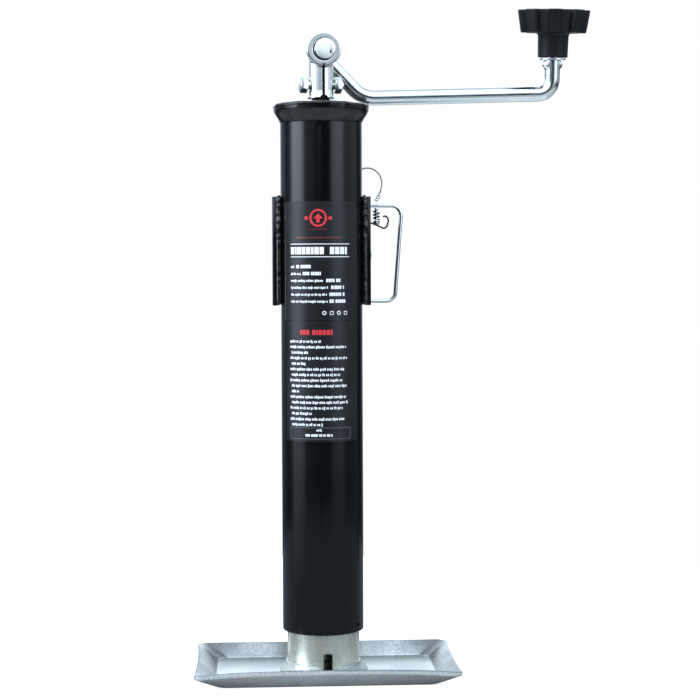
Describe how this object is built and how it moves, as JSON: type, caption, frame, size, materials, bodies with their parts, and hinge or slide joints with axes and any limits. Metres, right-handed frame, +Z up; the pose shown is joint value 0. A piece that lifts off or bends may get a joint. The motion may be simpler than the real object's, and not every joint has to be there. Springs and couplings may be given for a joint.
{
  "type": "trailer tongue jack",
  "caption": "Tubular swivel-mount trailer jack with a screw-driven drop leg, pressed foot plate, folding crank handle with star knob, and a pull pin with a wire ring.",
  "frame": {"origin": "centre of the foot plate's underside, on the screw's axis", "axes": "+Z up the tubes; +X roughly along the crank arm at rest; +Y towards the trailer-side pipe"},
  "size_m": [0.2844, 0.1499, 0.4728],
  "materials": {
    "black_paint": "gloss black powder coat",
    "zinc": "bright bluish zinc plate",
    "satin_zinc": "satin zinc plate",
    "black_plastic": "moulded matte black",
    "oiled_steel": "dark oiled steel",
    "bare_steel": "bare drawn steel",
    "bronze": "pressed bronze",
    "label": "satin sticker"
  },
  "bodies": {
    "housing": {"outer_tube": "black_paint", "head_cap": "black_paint", "bearing_upper_race": "oiled_steel", "saddle_bracket": "black_paint", "weld_left": "black_paint", "weld_right": "black_paint", "swivel_sleeve": "black_paint", "label_upper": "label", "label_lower": "label", "lanyard": "zinc", "lanyard_anchor": "zinc", "lanyard_ferrule": "zinc", "keeper_pin": "zinc", "keeper_spring": "zinc", "keeper_clip": "zinc"},
    "crank": {"lead_screw": "oiled_steel", "stop_washer": "zinc", "stop_pin": "oiled_steel", "bearing_lower_race": "oiled_steel", "crank_socket": "zinc", "eye_bush": "oiled_steel", "socket_bolt": "zinc", "socket_nut": "zinc"},
    "cage": {"bearing_cage": "bronze"},
    "handle": {"handle_rod": "zinc", "knob_washer": "zinc", "knob_retainer": "oiled_steel"},
    "knob": {"knob": "black_plastic", "knob_cap": "black_plastic"},
    "leg": {"inner_tube": "satin_zinc", "screw_nut": "oiled_steel", "foot_plate": "satin_zinc", "foot_weld": "satin_zinc"},
    "mount": {"mount_pipe": "bare_steel", "mount_ring": "oiled_steel"},
    "lock_pin": {"lock_pin": "zinc"},
    "pull_wire": {"pull_wire": "zinc"}
  },
  "joints": [
    {"name": "crank_turn", "type": "hinge", "parent": "housing", "child": "crank", "pos_m": [0, 0, 0.4], "axis": [0, 0, -1], "range_deg": [0, 28800]},
    {"name": "leg_slide", "type": "slide", "parent": "housing", "child": "leg", "axis": [0, 0, -1], "range_m": [0, 0.254]},
    {"name": "cage_turn", "type": "hinge", "parent": "housing", "child": "cage", "pos_m": [0, 0, 0.3798], "axis": [0, 0, -1], "range_deg": [0, 14400]},
    {"name": "handle_fold", "type": "hinge", "parent": "crank", "child": "handle", "pos_m": [0.0012, 0.00008, 0.4386], "axis": [0.0698, -0.9976, 0], "range_deg": [0, 240]},
    {"name": "knob_spin", "type": "hinge", "parent": "handle", "child": "knob", "pos_m": [0.16786, 0.02513, 0.4548], "axis": [0.0137, -0.0951, 0.9954], "continuous": true},
    {"name": "mount_swivel", "type": "hinge", "parent": "housing", "child": "mount", "pos_m": [0, 0.06, 0.2974], "axis": [0, 1, 0], "range_deg": [-90, 90]},
    {"name": "lock_pin_slide", "type": "slide", "parent": "housing", "child": "lock_pin", "axis": [-1, 0, 0], "range_m": [0, 0.007]},
    {"name": "pull_wire_swing", "type": "hinge", "parent": "lock_pin", "child": "pull_wire", "pos_m": [0.0358, 0.05, 0.2974], "axis": [0, 0, 1], "range_deg": [-30, 80]}
  ],
  "couplings": [
    {"joint": "leg_slide", "follows": "crank_turn", "m_per_rad": 0.00050532},
    {"joint": "cage_turn", "follows": "crank_turn", "ratio": 0.5}
  ]
}
